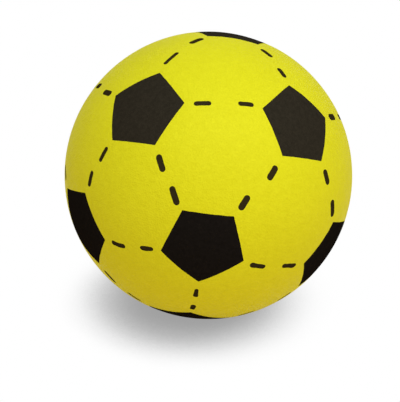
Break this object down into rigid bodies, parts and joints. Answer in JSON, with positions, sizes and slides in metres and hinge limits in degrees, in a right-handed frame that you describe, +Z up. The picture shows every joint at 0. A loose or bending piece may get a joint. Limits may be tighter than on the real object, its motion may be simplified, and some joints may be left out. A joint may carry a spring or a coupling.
{
  "type": "soft soccer ball",
  "caption": "Soft solid foam ball printed with black pentagons and seam dashes like a soccer ball, for kicking and throwing indoors.",
  "frame": {"origin": "middle of the small flat foot on which the soft ball stands", "axes": "+Z up from the foot through the ball's centre; the front pentagon faces -Y; +X is to the right seen from the front"},
  "size_m": [0.2, 0.2, 0.1994],
  "materials": {
    "yellow_foam": "matt open-pored polyurethane foam, lemon yellow",
    "black_ink": "matt black ink soaked into the foam's skin"
  },
  "bodies": {
    "root": {"foam_ball": "yellow_foam", "pentagon_front": "black_ink", "pentagon_lower_front": "black_ink", "pentagon_left": "black_ink", "pentagon_upper_left": "black_ink", "pentagon_upper_right": "black_ink", "pentagon_right": "black_ink", "pentagon_rear_lower_left": "black_ink", "pentagon_rear_left": "black_ink", "pentagon_top": "black_ink", "pentagon_rear_right": "black_ink", "pentagon_rear_lower_right": "black_ink", "pentagon_rear": "black_ink", "dash_front_to_left": "black_ink", "dash_front_to_lower_front": "black_ink", "dash_front_to_right": "black_ink", "dash_front_to_upper_left": "black_ink", "dash_front_to_upper_right": "black_ink", "dash_left_to_front": "black_ink", "dash_left_to_lower_front": "black_ink", "dash_left_to_rear_left": "black_ink", "dash_left_to_rear_lower_left": "black_ink", "dash_left_to_upper_left": "black_ink", "dash_lower_front_to_front": "black_ink", "dash_lower_front_to_left": "black_ink", "dash_lower_front_to_rear_lower_left": "black_ink", "dash_lower_front_to_rear_lower_right": "black_ink", "dash_lower_front_to_right": "black_ink", "dash_rear_left_to_left": "black_ink", "dash_rear_left_to_rear": "black_ink", "dash_rear_left_to_rear_lower_left": "black_ink", "dash_rear_left_to_top": "black_ink", "dash_rear_left_to_upper_left": "black_ink", "dash_rear_right_to_rear": "black_ink", "dash_rear_right_to_rear_lower_right": "black_ink", "dash_rear_right_to_right": "black_ink", "dash_rear_right_to_top": "black_ink", "dash_rear_right_to_upper_right": "black_ink", "dash_right_to_front": "black_ink", "dash_right_to_lower_front": "black_ink", "dash_right_to_rear_lower_right": "black_ink", "dash_right_to_rear_right": "black_ink", "dash_right_to_upper_right": "black_ink", "dash_top_to_rear": "black_ink", "dash_top_to_rear_left": "black_ink", "dash_top_to_rear_right": "black_ink", "dash_top_to_upper_left": "black_ink", "dash_top_to_upper_right": "black_ink", "dash_upper_left_to_front": "black_ink", "dash_upper_left_to_left": "black_ink", "dash_upper_left_to_rear_left": "black_ink", "dash_upper_left_to_top": "black_ink", "dash_upper_left_to_upper_right": "black_ink", "dash_upper_right_to_front": "black_ink", "dash_upper_right_to_rear_right": "black_ink", "dash_upper_right_to_right": "black_ink", "dash_upper_right_to_top": "black_ink", "dash_upper_right_to_upper_left": "black_ink"}
  },
  "joints": []
}
